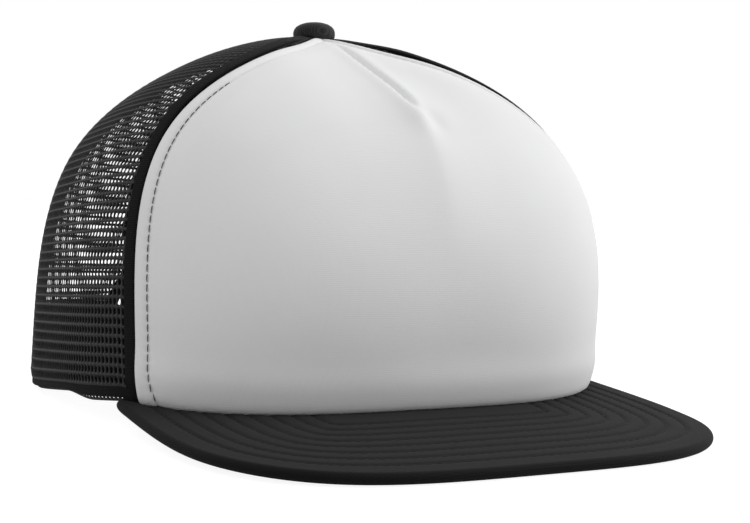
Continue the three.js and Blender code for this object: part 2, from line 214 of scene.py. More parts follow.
def lengths(points):
    """Running length along a row of points, or along each column of a grid of them."""
    steps = np.linalg.norm(np.diff(points, axis=0), axis=-1)
    return np.concatenate([np.zeros_like(steps[:1]), np.cumsum(steps, axis=0)])


def resampled(x, y, count):
    """Evenly spaced points along the path through x, y."""
    run = lengths(np.stack([x, y], -1))
    wanted = np.linspace(0, run[-1], count)
    return np.stack([np.interp(wanted, run, x), np.interp(wanted, run, y)], -1)


# ---------- crown surface ----------

def edge_height(y):
    return -math.tan(BILL_TILT) * np.maximum(0, BILL_HINGE_Y - y)


def edge_radius(angle):
    cosine = np.cos(angle)
    length = np.where(cosine > 0, CROWN_FRONT, CROWN_BACK)
    power = np.where(cosine > 0, FRONT_SQUARENESS, BACK_SQUARENESS)
    total = (np.abs(np.sin(angle)) / CROWN_HALF_WIDTH) ** power + (np.abs(cosine) / length) ** power
    return total ** (-1 / power)


def profile_at(angle):
    across = np.sin(angle) ** 2
    along = np.cos(angle) ** 2
    front = np.cos(angle) > 0
    ends = [np.where(front, f, b) for f, b in zip(FRONT_PROFILE, BACK_PROFILE)]
    return [along * end + across * side for end, side in zip(ends, SIDE_PROFILE)]


def crown_point(angle, level):
    angle, level = np.broadcast_arrays(np.asarray(angle, float), np.asarray(level, float))
    shoulder, top, bulge = profile_at(angle)
    dome = np.maximum(0, 1 - np.clip(level, 0, 1) ** shoulder) ** (1 / top)
    # The bulge is a percentage of the radius halfway up.
    dome = dome * (1 + 0.04 * bulge * level * (1 - level))
    radius = edge_radius(angle)
    x, y = radius * np.sin(angle), -radius * np.cos(angle)
    low = edge_height(y)
    z = low + (CROWN_HEIGHT - low) * level
    return np.stack([x * dome, y * dome + CROWN_TOP_SHIFT * level ** 2, z], -1)


def crown_normal(angle, level):
    step = 0.001
    level = np.asarray(level, float)
    around = crown_point(angle + step, level) - crown_point(angle - step, level)
    up = crown_point(angle, np.minimum(level + step, 0.9999)) - crown_point(angle, np.maximum(level - step, 0))
    normal = np.cross(around, up)
    return normal / np.linalg.norm(normal, axis=-1, keepdims=True)


def settle(angle, level):
    """How far the made-up cloth lies below the plain surface, towards the top and the shoulders."""
    side = smooth_step(np.abs(angle), math.radians(55), math.radians(100))
    return smooth_step(level, 0.6, 0.9) * (0.7 + 1.1 * side)


def hang(angle, level):
    """How far the lower edge hangs down: into the bill's cloth in front, and in a soft curve at the sides."""
    turn = np.degrees(np.abs(angle))
    side = SIDE_HANG * bell(turn, HANG_ANGLE, HANG_SPREAD) * (1 - smooth_step(turn, HANG_ANGLE, 138))
    sink = EDGE_SINK + BILL_SAG * (edge_radius(angle) * np.sin(angle) / BILL_HALF_WIDTH) ** 2
    front = sink * (1 - smooth_step(turn, 64, 76)) * fade(level, 0.025)
    return side * fade(level, 0.3) ** 2 + front


def crown_at(angle, level, depth):
    """Points at a depth below the crown's outer surface."""
    angle, level, depth = np.broadcast_arrays(*(np.asarray(v, float) for v in (angle, level, depth)))
    points = crown_point(angle, level) - crown_normal(angle, level) * (depth + settle(angle, level))[..., None]
    points[..., 2] -= hang(angle, level)
    return points


def level_at_radius(angle, radius):
    shoulder, top, _ = profile_at(angle)
    return (1 - (radius / edge_radius(angle)) ** top) ** (1 / shoulder)


def level_at_height(angle, height):
    return height / (CROWN_HEIGHT - edge_height(-edge_radius(angle) * np.cos(angle)))


def front_seam(level):
    a, b, c, d = FRONT_SEAM
    return np.radians(a + b * level + c * level ** 2 + d * level ** 6)


def side_seam(level):
    return np.radians(SIDE_SEAM) + 0 * np.asarray(level, float)


def back_seam(level):
    return math.pi + 0 * np.asarray(level, float)


def arch(turn, grow=0.0):
    """Angle and level on the back opening's edge; turn runs from 0 at the left foot to pi at the right."""
    foot = math.radians(ARCH_HALF_ANGLE) + grow / ARCH_RADIUS
    across = np.sign(np.cos(turn)) * np.abs(np.cos(turn)) ** ARCH_SQUARENESS
    up = np.abs(np.sin(turn)) ** ARCH_SQUARENESS
    return math.pi - foot * across, level_at_height(math.pi, ARCH_HEIGHT + grow) * up


def arch_level(angle):
    """Lowest level of the back panels at an angle: 0 beside the opening, the arch's edge over it."""
    foot = arch(0.0, ARCH_CLEAR)[0]
    across = min(1.0, abs(math.pi - angle) / (math.pi - foot))
    turn = math.acos(across ** (1 / ARCH_SQUARENESS))
    return arch(turn, ARCH_CLEAR)[1] if across < 1 else 0.0


def hem_curl(height):
    """How far the cloth turns in at a height over the lower edge."""
    return HEM_CURL * fade(height, HEM_CURL_HEIGHT) ** 2


def seam_curl(level):
    return hem_curl(level * CROWN_HEIGHT)


def even_path(angles, levels, pitch):
    """The same path with points a pitch apart."""
    run = lengths(crown_at(angles, levels, 0.0))
    count = max(2, int(round(run[-1] / pitch)) + 1)
    wanted = np.linspace(0, run[-1], count)
    return np.interp(wanted, run, angles), np.interp(wanted, run, levels)


def path_frame(angles, levels, depth):
    """Points, directions and outward normals along a path on the crown."""
    centres = crown_at(angles, levels, depth)
    along = np.gradient(centres, axis=0)
    along /= np.linalg.norm(along, axis=-1, keepdims=True)
    return centres, along, crown_normal(angles, levels)


# ---------- materials ----------

# The wave pattern repeats this many times in each unit at scale 1.
WAVES_PER_UNIT = 3.18
MOTTLE = 0.25


class Nodes:
    """Short way to build a material's nodes."""

    def __init__(self, name, roughness=0.8, metallic=0.0, sheen=0.0, specular=0.5):
        self.material = bpy.data.materials.new(name)
        self.material.use_nodes = True
        self.tree = self.material.node_tree
        self.shader = self.tree.nodes["Principled BSDF"]
        self.shader.inputs["Roughness"].default_value = roughness
        self.shader.inputs["Metallic"].default_value = metallic
        self.shader.inputs["Sheen Weight"].default_value = sheen
        self.shader.inputs["Sheen Roughness"].default_value = 0.5
        self.shader.inputs["Specular IOR Level"].default_value = specular

    def add(self, kind, inputs=(), **settings):
        node = self.tree.nodes.new(kind)
        for key, value in settings.items():
            setattr(node, key, value)
        for key, value in dict(inputs).items():
            node.inputs[key].default_value = value
        return node

    def link(self, source, target):
        self.tree.links.new(source, target)

    def cloth(self, scale):
        """Coordinates on the cloth in millimetres, times a scale."""
        source = self.add("ShaderNodeAttribute", attribute_name="cloth")
        mapping = self.add("ShaderNodeMapping", {"Scale": (scale, scale, 1)})
        self.link(source.outputs["Vector"], mapping.inputs["Vector"])
        return mapping.outputs["Vector"]

    def noise(self, scale, detail=2.0, roughness=0.5):
        """Noise in the object's own space, in repeats to the metre."""
        place = self.add("ShaderNodeTexCoord").outputs["Object"]
        node = self.add("ShaderNodeTexNoise", {"Scale": scale, "Detail": detail, "Roughness": roughness})
        self.link(place, node.inputs["Vector"])
        return node.outputs["Fac"]

    def wave(self, scale, direction, distortion):
        """Threads on the cloth, running one way."""
        node = self.add("ShaderNodeTexWave", {"Scale": 1.0, "Distortion": distortion, "Detail Scale": 2.0},
                        wave_type="BANDS", bands_direction=direction)
        self.link(self.cloth(scale), node.inputs["Vector"])
        return node.outputs["Fac"]

    def math(self, operation, a, b):
        node = self.add("ShaderNodeMath", operation=operation)
        for socket, value in zip(node.inputs, (a, b)):
            if isinstance(value, (int, float)):
                socket.default_value = value
            else:
                self.link(value, socket)
        return node.outputs[0]

    def mix(self, a, b, share):
        """A blend of a and b in which b has the share."""
        return self.math("ADD", self.math("MULTIPLY", a, 1 - share), self.math("MULTIPLY", b, share))

    def color(self, factor, dark, light, low, high):
        ramp = self.add("ShaderNodeValToRGB")
        for element, position, tone in zip(ramp.color_ramp.elements, (low, high), (dark, light)):
            element.position = position
            element.color = (*tone, 1)
        self.link(factor, ramp.inputs[0])
        self.link(ramp.outputs[0], self.shader.inputs["Base Color"])

    def rough(self, factor, low, high):
        node = self.add("ShaderNodeMapRange", {"To Min": low, "To Max": high})
        self.link(factor, node.inputs["Value"])
        self.link(node.outputs[0], self.shader.inputs["Roughness"])

    def bump(self, height, distance, strength=1.0):
        node = self.add("ShaderNodeBump", {"Strength": strength, "Distance": distance})
        self.link(height, node.inputs["Height"])
        self.link(node.outputs[0], self.shader.inputs["Normal"])


def woven(name, dark, light, pitch, roughness, sheen, relief):
    """Plain weave: threads a pitch apart both ways, with a soft unevenness."""
    m = Nodes(name, roughness, sheen=sheen, specular=0.08)
    turns = 1 / pitch / WAVES_PER_UNIT
    weave = m.math("MULTIPLY", m.wave(turns, "X", 0.4), m.wave(turns, "Y", 0.4))
    uneven = m.noise(60, 3)
    fine = m.noise(2500, 1)
    m.color(m.mix(weave, uneven, MOTTLE), dark, light, 0.1, 0.8)
    m.rough(uneven, roughness - 0.08, roughness + 0.06)
    m.bump(m.math("ADD", weave, m.math("MULTIPLY", fine, 0.5)), relief)
    return m.material


def front_cloth_material():
    """Smooth brushed polyester knit over foam."""
    m = Nodes("front_cloth", 0.75, sheen=0.25, specular=0.25)
    knit = m.math("MULTIPLY", m.wave(0.9, "X", 1.0), m.wave(0.55, "Y", 1.0))
    soft = m.noise(25, 2)
    fine = m.noise(1800, 2)
    m.color(m.mix(knit, soft, 0.75), (0.7, 0.702, 0.705), (0.77, 0.772, 0.775), 0.1, 0.8)
    m.rough(soft, 0.7, 0.82)
    m.bump(m.math("ADD", knit, m.math("MULTIPLY", fine, 0.7)), 0.00005, 0.5)
    return m.material


def foam_material():
    m = Nodes("foam", 0.95, specular=0.2)
    pores = m.noise(900, 3, 0.7)
    patch = m.noise(30, 2)
    m.color(m.mix(pores, patch, 0.4), (0.5, 0.49, 0.46), (0.78, 0.77, 0.73), 0.3, 0.7)
    m.bump(pores, 0.0004, 0.8)
    return m.material


def net_material():
    """Glossy black polyester yarn."""
    m = Nodes("net_yarn", 0.55, sheen=0.05, specular=0.28)
    tone = m.noise(700, 2)
    m.color(tone, (0.009, 0.009, 0.0095), (0.027, 0.027, 0.028), 0.3, 0.7)
    m.rough(tone, 0.5, 0.7)
    m.bump(tone, 0.0001, 0.5)
    return m.material


def thread_material(name, dark, light, specular=0.4):
    m = Nodes(name, 0.6, sheen=0.03, specular=specular)
    tone = m.noise(2500, 1)
    m.color(tone, dark, light, 0.3, 0.7)
    m.bump(tone, 0.00008, 0.6)
    return m.material


def plastic_material(name, dark, light, roughness):
    m = Nodes(name, roughness, specular=0.45)
    grain = m.noise(1500, 2)
    wear = m.noise(90, 4, 0.6)
    m.color(wear, dark, light, 0.35, 0.75)
    m.rough(wear, roughness - 0.08, roughness + 0.1)
    m.bump(grain, 0.00003, 0.5)
    return m.material


def steel_material():
    m = Nodes("plated_steel", 0.3, metallic=1.0)
    scratches = m.noise(800, 4, 0.7)
    m.color(scratches, (0.42, 0.42, 0.43), (0.66, 0.66, 0.67), 0.3, 0.7)
    m.rough(scratches, 0.22, 0.42)
    m.bump(scratches, 0.00002, 0.4)
    return m.material


FRONT_CLOTH = front_cloth_material()
FOAM = foam_material()
NET = net_material()
BILL_CLOTH = woven("bill_cloth", (0.004, 0.004, 0.0043), (0.012, 0.012, 0.0125), 0.55, 0.85, 0.05, 0.00008)
# The button's cloth is painted about four times lighter than the bill's black cloth: a painted highlight standing
# in for the sheen on the button's top.
BUTTON_CLOTH_PAINTED_HIGHLIGHT = woven("button_cloth_painted_highlight", (0.016, 0.016, 0.0168), (0.05, 0.05, 0.052), 0.5, 0.75, 0.12, 0.00006)
TAPE = woven("tape_twill", (0.004, 0.004, 0.0045), (0.012, 0.012, 0.013), 0.7, 0.85, 0.03, 0.0001)
BAND = woven("sweatband_cloth", (0.004, 0.004, 0.0045), (0.014, 0.014, 0.015), 0.8, 0.9, 0.04, 0.00014)
LABEL = woven("label_satin", (0.02, 0.02, 0.022), (0.06, 0.06, 0.063), 0.3, 0.5, 0.1, 0.00003)
DARK_THREAD = thread_material("dark_thread", (0.03, 0.03, 0.032), (0.09, 0.09, 0.095))
BLACK_THREAD = thread_material("black_thread", (0.003, 0.003, 0.0033), (0.009, 0.009, 0.0095), 0.12)
BOARD = plastic_material("bill_board_plastic", (0.22, 0.23, 0.22), (0.34, 0.35, 0.34), 0.55)
STRAP = plastic_material("strap_plastic", (0.008, 0.008, 0.009), (0.02, 0.02, 0.021), 0.38)
STEEL = steel_material()


# ---------- making pieces ----------

def piece(name, points, faces, material, body="crown", replaces=(), cloth=None):
    """A mesh object made of crown-frame points, riding on a body."""
    mesh = bpy.data.meshes.new(name)
    mesh.from_pydata(to_frame(points).tolist(), [], [list(face) for face in faces])
    mesh.validate()
    mesh.update()
    mesh.shade_smooth()
    if cloth is None:
        cloth = np.asarray(points)[:, [0, 2, 1]]
    attribute = mesh.attributes.new("cloth", "FLOAT_VECTOR", "POINT")
    attribute.data.foreach_set("vector", np.asarray(cloth, np.float32).ravel())
    mesh.materials.append(material)
    made = bpy.data.objects.new(name, mesh)
    bpy.context.scene.collection.objects.link(made)
    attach(made, body)
    if replaces:
        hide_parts(*replaces)
    return made


def mirrored_pair(name, points, faces, material, cloth, replaces=None):
    """A piece on the wearer's left and its mirror image on the right."""
    for side in ("left", "right"):
        nodes = [f"{replaces}_{side}"] if replaces else ()
        piece(f"{name}_{side}", points, faces, material, cloth=cloth, replaces=nodes)
        points = np.asarray(points) * np.array([-1, 1, 1])
        faces = [tuple(reversed(face)) for face in faces]


def thickened(made, millimetres):
    """Gives a single layer of cloth its thickness, inwards."""
    thick = made.modifiers.new("cloth", "SOLIDIFY")
    thick.thickness = millimetres / 1000
    thick.offset = -1


def finish_nodes(names, material):
    for name in names:
        frame["nodes"][name].data.materials.clear()
        frame["nodes"][name].data.materials.append(material)


def grid_faces(rows, columns, start=0, wrap=False, flip=False):
    """Quads of a grid of rows x columns points."""
    r = np.arange(rows - 1)[:, None]
    c = np.arange(columns if wrap else columns - 1)[None, :]
    n = (c + 1) % columns
    quads = np.stack([r * columns + c, r * columns + n, (r + 1) * columns + n, (r + 1) * columns + c], -1)
    quads = quads.reshape(-1, 4) + start
    return quads[:, ::-1] if flip else quads


def closed_sheet(outer, inner):
    """Points and faces of a closed sheet from two grids of the same shape, outer side first."""
    rows, columns = outer.shape[:2]
    points = np.concatenate([outer.reshape(-1, 3), inner.reshape(-1, 3)])
    layer = rows * columns
    rim = np.concatenate([
        np.arange(columns),
        np.arange(1, rows) * columns + columns - 1,
        layer - 2 - np.arange(columns - 1),
        np.arange(rows - 2, 0, -1) * columns,
    ])
    following = np.roll(rim, -1)
    return points, np.concatenate([
        grid_faces(rows, columns),
        grid_faces(rows, columns, layer, flip=True),
        np.stack([rim + layer, following + layer, following, rim], -1),
    ])


def sweep(centres, along, normals, profile):
    """Sweeps a closed profile of (sideways, outward) millimetres along a path on the crown."""
    sideways = np.cross(along, normals)
    sideways /= np.linalg.norm(sideways, axis=-1, keepdims=True)
    profile = np.asarray(profile, float)
    rings = centres[:, None] + sideways[:, None] * profile[:, :1] + normals[:, None] * profile[:, 1:]
    count, width = rings.shape[:2]
    faces = grid_faces(count, width, wrap=True).tolist()
    faces.append(list(range(width - 1, -1, -1)))
    faces.append(list(range((count - 1) * width, count * width)))
    run = lengths(centres)
    girth = lengths(np.concatenate([profile, profile[:1]]))[:-1]
    cloth = np.stack(np.broadcast_arrays(girth[None, :], run[:, None], 0.0), -1).reshape(-1, 3)
    return rings.reshape(-1, 3), faces, cloth


def strip(angles, levels, profile, depth=lambda level: 0.0, pitch=2.0):
    """A profile swept along a path on the crown, at a depth that may change with the level."""
    angles, levels = even_path(angles, levels, pitch)
    return sweep(*path_frame(angles, levels, depth(levels)), profile)


def pad(left, right, high, low, steps=4):
    """Rounded flat profile from left to right, between two heights."""
    radius = min((right - left) / 2, (high - low) / 2)
    corners = [(right - radius, high - radius, 90), (right - radius, low + radius, 0),
               (left + radius, low + radius, -90), (left + radius, high - radius, -180)]
    points = []
    for x, z, start in corners:
        for i in range(steps):
            turn = math.radians(start - 90 * i / (steps - 1))
            points.append((x + radius * math.cos(turn), z + radius * math.sin(turn)))
    return points[::-1]


def stitches(name, centres, along, normals, material, radius):
    """A row of thread stitches lying at the given places."""
    # A stitch's rings from end to end: place as a share of its length, width and rise as shares of its radius.
    rings = np.array([-0.5, -0.44, -0.2, 0.2, 0.44, 0.5])
    widths = np.array([0.15, 0.75, 1.0, 1.0, 0.75, 0.15]) * radius
    rise = np.array([-0.9, -0.1, 0.35, 0.35, -0.1, -0.9]) * radius
    sides = 6
    turn = np.arange(sides) / sides * 2 * math.pi
    local = np.zeros((len(rings), sides, 3))
    local[..., 0] = (rings * STITCH_LENGTH)[:, None]
    local[..., 1] = widths[:, None] * np.cos(turn)
    local[..., 2] = widths[:, None] * np.sin(turn) + rise[:, None]
    axes = np.stack([along, np.cross(normals, along), normals], 1)
    points = centres[:, None, None] + np.einsum("rsk,nkj->nrsj", local, axes)
    per = len(rings) * sides
    template = grid_faces(len(rings), sides, wrap=True).tolist()
    template.append(list(range(sides - 1, -1, -1)))
    template.append(list(range(per - sides, per)))
    faces = [[v + per * i for v in face] for i in range(len(centres)) for face in template]
    return piece(name, points.reshape(-1, 3), faces, material)


def stitch_path(name, angles, levels, sideways, depth, material=BLACK_THREAD, both_sides=True, radius=0.22):
    """Stitches along a path on the crown, moved sideways on its surface, and their mirror image."""
    angles, levels = even_path(angles, levels, STITCH_PITCH)
    share = np.linspace(0, 1, len(angles))
    sideways, depth = (np.interp(share, np.linspace(0, 1, np.size(v)), np.ravel(v)) for v in (sideways, depth))
    centres, along, normals = path_frame(angles, levels, depth)
    centres = centres + np.cross(along, normals) * sideways[:, None]
    if both_sides:
        flip = np.array([-1, 1, 1])
        centres, along, normals = (np.concatenate([v, v * flip]) for v in (centres, along, normals))
    return stitches(name, centres, along, normals, material, radius)


# ---------- front panel ----------

def hem_width(up):
    """Distance of the hem's stitches from the seam: wider where they turn in at the lower edge."""
    return HEM_WIDTH + 2.2 * fade(up, 10) ** 2


def lower_edge(up):
    """Depth of the panel near its lower edge: puffed out over the bill, then rolled under itself."""
    tuck = 2.4 * (1 - np.sqrt(np.clip(1 - fade(up, 4.0) ** 2, 0, 1)))
    return tuck - 0.8 * bell(up, 8, 6)


def panel_hem(edge, up):
    """Depth beside the seams: the edge rolls under, the hem stands up and its stitch row pulls it in."""
    line = edge - hem_width(up) - SEAM_OVERLAP
    roll = 1.3 * fade(edge, 1.1) ** 2
    hem = -0.35 * bell(edge, 2.7, 1.4)
    pull = 0.8 * bell(line, 0, 0.7)
    pucker = 0.14 * bell(line, 0, 2.2) * np.sin(up * 2 * math.pi / STITCH_PITCH)
    swell = -0.5 * smooth_step(line, 1, 9)
    return roll + hem + pull + pucker + swell


def panel_dart(centre, level, up):
    """Depth round the sewn dart under the button, and the soft ridge that runs down from its end."""
    aside = np.abs(centre)
    sewn = smooth_step(level, DART_LEVEL - 0.015, DART_LEVEL + 0.03) * (1 - 0.9 * smooth_step(level, 0.9, 0.985))
    crease = sewn * (DART_DEPTH * bell(centre, 0, 1.2) - 0.5 * bell(aside, 3.5, 3))
    puckers = sewn * 0.16 * bell(aside, 2.5, 2) * np.sin(up * 2 * math.pi / 3.7)
    below = smooth_step(level, 0.3, DART_LEVEL - 0.05) * (1 - smooth_step(level, DART_LEVEL - 0.03, 0.9))
    ridge = -RIDGE_HEIGHT * below * np.exp(-(aside / 15) ** 1.3)
    hollow = 0.9 * smooth_step(level, 0.55, 0.8) * bell(aside, 16, 12)
    # The corner of foam that the end of the dart pushes up, and the pinch beside it.
    middle = level.shape[1] // 2
    from_end = up - np.interp(DART_LEVEL, level[:, middle], up[:, middle])
    corner = bell(from_end, -3, 7) * (1.1 * bell(centre, 5, 4) - 1.3 * bell(centre, -1, 4))
    return crease + puckers + ridge + hollow + corner


def front_panel():
    u = np.linspace(-1, 1, 141)
    side = u * (1 + 0.35 * (1 - u ** 2))
    v = np.linspace(0, 1, 151)[:, None]
    top = np.arcsin(level_at_radius(side * front_seam(0.95), 4.0))
    level = np.sin(top * v ** 1.1)
    angle = side * (front_seam(level) + SEAM_OVERLAP / SEAM_RADIUS)
    base = crown_point(angle, level)
    across = lengths(base.swapaxes(0, 1)).T
    up = lengths(base)
    edge = np.minimum(np.minimum(across, across[:, -1:] - across), 40)
    centre = across - across[:, -1:] / 2 - DART_LEAN * smooth_step(0.92 - level, 0, 0.22)
    # Soft unevenness of the foam.
    soft = 0.25 * np.sin(centre / 23 + 1.2) * np.sin(up / 31 + 0.4) + 0.15 * np.sin(centre / 11 + up / 17)
    soft = soft * smooth_step(edge, 6, 25) * smooth_step(up, 4, 20)
    depth = panel_hem(edge, up) + lower_edge(up) + panel_dart(centre, level, up) + soft
    points, faces = closed_sheet(crown_at(angle, level, depth), crown_at(angle, level, depth + PANEL_CLOTH))
    cloth = np.stack([across, up, 0 * up], -1).reshape(-1, 3)
    piece("front_cloth", points, faces, FRONT_CLOTH, replaces=["front_panel"],
          cloth=np.concatenate([cloth, cloth]))
    foam_lining(angle, level, np.maximum(depth, -0.6))


def foam_lining(angle, level, depth):
    """The foam behind the cloth, four columns short of the seams and nine rows short of the top."""
    part = (slice(None, -9, 2), slice(4, -4, 2))
    outer = crown_at(angle, level, depth + FOAM_DEPTH)[part]
    inner = crown_at(angle, level, np.minimum(depth, 1.2) + FOAM_BACK)[part]
    points, faces = closed_sheet(outer, inner)
    foam = piece("foam_lining", points, faces, FOAM, replaces=["front_foam"])


# ---------- net ----------

def cell_outlines():
    """A cell's edge and its rounded hole as shares of the cell, both going round the same way."""
    half_x, half_y = NET_HOLE[0] / 2 / NET_COLUMN, NET_HOLE[1] / 2 / NET_ROW
    rim = [(0, 0), (0.5, 0), (1, 0), (1, 0.5), (1, 1), (0.5, 1), (0, 1), (0, 0.5)]
    ring = []
    for x, y in rim:
        sx, sy = np.sign(x - 0.5), np.sign(y - 0.5)
        corner = (0.78, 0.72) if sx and sy else (1, 1)
        ring.append((0.5 + sx * half_x * corner[0], 0.5 + sy * half_y * corner[1]))
    return rim, ring


def net_cells(left, right, low, run, levels):
    """Columns and rows of the cells that lie between two seams and above the lowest level."""
    cells = []
    for row in range(int((run[-1] - NET_TOP_GAP) / NET_ROW)):
        level = np.interp((row + 0.5) * NET_ROW, run, levels)
        angles = np.linspace(left(level), right(level), 60)
        arc = lengths(crown_point(angles, level))
        for column in range(-int(NET_HALF_WIDTH / NET_COLUMN), int(NET_HALF_WIDTH / NET_COLUMN)):
            centre = (column + 0.5) * NET_COLUMN
            angle = np.interp(centre + arc[-1] / 2, arc, angles)
            if abs(centre) < arc[-1] / 2 - NET_MARGIN and level >= low(angle):
                cells.append((column, row))
    return cells


def net_mesh(cells):
    """Flat points in millimetres, their heights over the net's middle, and faces: yarn round every hole."""
    rim, ring = cell_outlines()
    index = {}
    flat, rise, faces = [], [], []

    def vertex(x, y, height):
        key = (round(x * 1000), round(y * 1000), height > 0, height == 0)
        if key not in index:
            index[key] = len(flat)
            flat.append((x, y))
            rise.append(height)
        return index[key]

    for column, row in cells:
        top, bottom, hole = [], [], []
        for (rim_x, rim_y), (ring_x, ring_y) in zip(rim, ring):
            half = NET_BAR if rim_y in (0, 1) else NET_RIB
            top.append(vertex(column + rim_x, row + rim_y, half))
            bottom.append(vertex(column + rim_x, row + rim_y, -half))
            hole.append(vertex(column + ring_x, row + ring_y, 0))
        for i in range(len(rim)):
            j = (i + 1) % len(rim)
            faces.append((top[i], top[j], hole[j], hole[i]))
            faces.append((bottom[j], bottom[i], hole[i], hole[j]))
    return np.array(flat) * np.array([NET_COLUMN, NET_ROW]), np.array(rise), faces


def net_angles(flat, left, right, run, levels):
    """The angle of each flat point, measured round the crown from halfway between the seams."""
    angles = np.zeros(len(flat))
    for height in np.unique(np.round(flat[:, 1], 4)):
        chosen = np.abs(flat[:, 1] - height) < 1e-3
        level = np.interp(height, run, levels)
        centre = (left(level) + right(level)) / 2
        spread = np.linspace(centre - 1.6, centre + 1.6, 240)
        arc = lengths(crown_point(spread, level))
        angles[chosen] = np.interp(flat[chosen, 0] + np.interp(centre, spread, arc), arc, spread)
    return angles


def net_panel(name, node, left, right, low):
    """Open net between two seams. left and right give a seam's angle at a level, low an angle's lowest level."""
    levels = np.linspace(0, 0.995, 600)
    run = lengths(crown_point((left(levels) + right(levels)) / 2, levels))
    flat, rise, faces = net_mesh(net_cells(left, right, low, run, levels))
    angles = net_angles(flat, left, right, run, levels)
    points = crown_at(angles, np.interp(flat[:, 1], run, levels), NET_DEPTH + hem_curl(flat[:, 1]) - rise)
    cloth = np.concatenate([flat, np.zeros((len(flat), 1))], 1)
    mirrored_pair(name, points, faces, NET, cloth, node)


def nets():
    net_panel("side_net", "side_mesh", front_seam, side_seam, lambda angle: 0.0)
    net_panel("back_net", "back_mesh", side_seam, back_seam, arch_level)


# ---------- seams, bands and binding ----------

def selvedge_depth(level):
    """The net's folded edge stands up over the shoulder and turns in at the hem."""
    return seam_curl(level) - SELVEDGE_RISE * smooth_step(level, 0.55, 0.75) * (1 - smooth_step(level, 0.93, 0.98))


def strip_pair(name, angles, levels, profile, depth=lambda level: 0.0, replaces=None):
    points, faces, cloth = strip(angles, levels, profile, depth)
    mirrored_pair(name, points, faces, TAPE, cloth, replaces)


def seam_strips():
    levels = np.linspace(0.0, SEAM_TOP, 160)
    front = front_seam(levels)
    strip_pair("front_seam_selvedge", front, levels, pad(0.75, 5.0, -0.25, -1.4), depth=selvedge_depth)
    strip_pair("front_inner_tape", front, levels, pad(-1.6, 7.0, -1.7, -2.4), replaces="front_seam_tape")
    levels = np.linspace(SIDE_SEAM_FOOT, SEAM_TOP, 160)
    strip_pair("side_seam_ridge", side_seam(levels), levels, pad(*RIDGE_PROFILE), depth=seam_curl)
    tape_levels = np.linspace(0.19, 0.985, 130)
    strip_pair("side_inner_tape", side_seam(tape_levels), tape_levels, pad(*INNER_TAPE_PROFILE),
               replaces="side_seam_tape")


def back_seam_strips():
    levels = np.linspace(0.40, 0.992, 120)
    points, faces, cloth = strip(back_seam(levels), levels, pad(*RIDGE_PROFILE))
    piece("back_seam_ridge", points, faces, TAPE, cloth=cloth)
    levels = levels[6:-4]
    points, faces, cloth = strip(back_seam(levels), levels, pad(*INNER_TAPE_PROFILE))
    piece("back_seam_cover", points, faces, TAPE, cloth=cloth, replaces=["back_seam_tape"])


def seam_stitches():
    levels = np.linspace(0.014, HEM_STITCH_TOP, 160)
    run = lengths(crown_point(front_seam(levels), levels)) + 1.6
    stitch_path("front_hem_stitches", front_seam(levels), levels, -hem_width(run), 0.45 + lower_edge(run),
                DARK_THREAD, radius=0.18)
    levels = np.linspace(0.03, 0.97, 160)
    stitch_path("front_selvedge_stitches", front_seam(levels), levels, 4.3, 0.36, radius=0.14)
    levels = np.linspace(SIDE_SEAM_FOOT, SEAM_TOP, 160)
    for name, sideways in (("side_seam_stitches_front", -1.9), ("side_seam_stitches_back", 1.9)):
        stitch_path(name, side_seam(levels), levels, sideways, seam_curl(levels) - 0.1)


def top_patch():
    """Round patch of cloth where the seams meet under the button."""
    angle = np.linspace(0, 2 * math.pi, 73)[None, :-1]
    angle = (angle + math.pi) % (2 * math.pi) - math.pi
    level = level_at_radius(angle, np.linspace(*TOP_PATCH_RADII, 10)[:, None])
    outer, inner = (crown_at(angle, level, depth) for depth in (1.1, 1.7))
    rows, columns = outer.shape[:2]
    layer = rows * columns
    outside = np.arange(columns)
    inside = outside + layer - columns
    piece("top_patch", np.concatenate([outer.reshape(-1, 3), inner.reshape(-1, 3)]), np.concatenate([
        grid_faces(rows, columns, wrap=True),
        grid_faces(rows, columns, layer, wrap=True, flip=True),
        np.stack([outside + layer, np.roll(outside, -1) + layer, np.roll(outside, -1), outside], -1),
        np.stack([inside, np.roll(inside, -1), np.roll(inside, -1) + layer, inside + layer], -1),
    ]), TAPE)


def lower_hems():
    """The net's folded lower edge from the front seam to the foot of the arch."""
    end = math.pi - math.radians(ARCH_HALF_ANGLE)
    angles = np.linspace(float(front_seam(0.0)) + 0.01, end - 0.005, 120)
    strip_pair("net_hem", angles, level_at_height(angles, 1.0), pad(-5.0, 0.4, -1.1, -2.9))
    stitch_path("net_hem_stitches", angles, level_at_height(angles, 5.4), 0.0, 0.55)


def opening_binding():
    angles, levels = arch(np.linspace(0.0, math.pi, 160))
    levels = np.maximum(levels, 0.009)
    profile = pad(-4.8, 1.0, 0.6, -2.0, 5)
    points, faces, cloth = strip(angles, levels, profile, lambda level: 0.6 * seam_curl(level), 1.5)
    piece("opening_edge_binding", points, faces, TAPE, cloth=cloth, replaces=["opening_binding"])
    stitch_path("binding_stitches", angles[6:-6], levels[6:-6], -3.6, -0.6, both_sides=False)


def sweatband():
    end = math.pi - math.radians(ARCH_HALF_ANGLE) - 0.02
    angles = np.linspace(-end, end, 260)
    v = np.linspace(0, 1, 24)[:, None]
    height = BAND_LIFT + (BAND_HEIGHT - BAND_LIFT) * v
    level = level_at_height(angles[None, :], height)
    puff = 0.35 * np.sin(math.pi * v) ** 0.6
    dimple = sum(0.25 * bell(height, row, 1.0) for row in BAND_STITCH_HEIGHTS)
    outer = crown_at(angles, level, BAND_DEPTH - 0.3)
    inner = crown_at(angles, level, BAND_DEPTH + BAND_THICKNESS + puff - dimple)
    points, faces = closed_sheet(outer, inner)
    cloth = np.stack(np.broadcast_arrays(lengths(outer[10])[None, :], height, 0.0), -1).reshape(-1, 3)
    piece("sweatband_cloth", points, faces, BAND, replaces=["sweatband"],
          cloth=np.concatenate([cloth, cloth]))


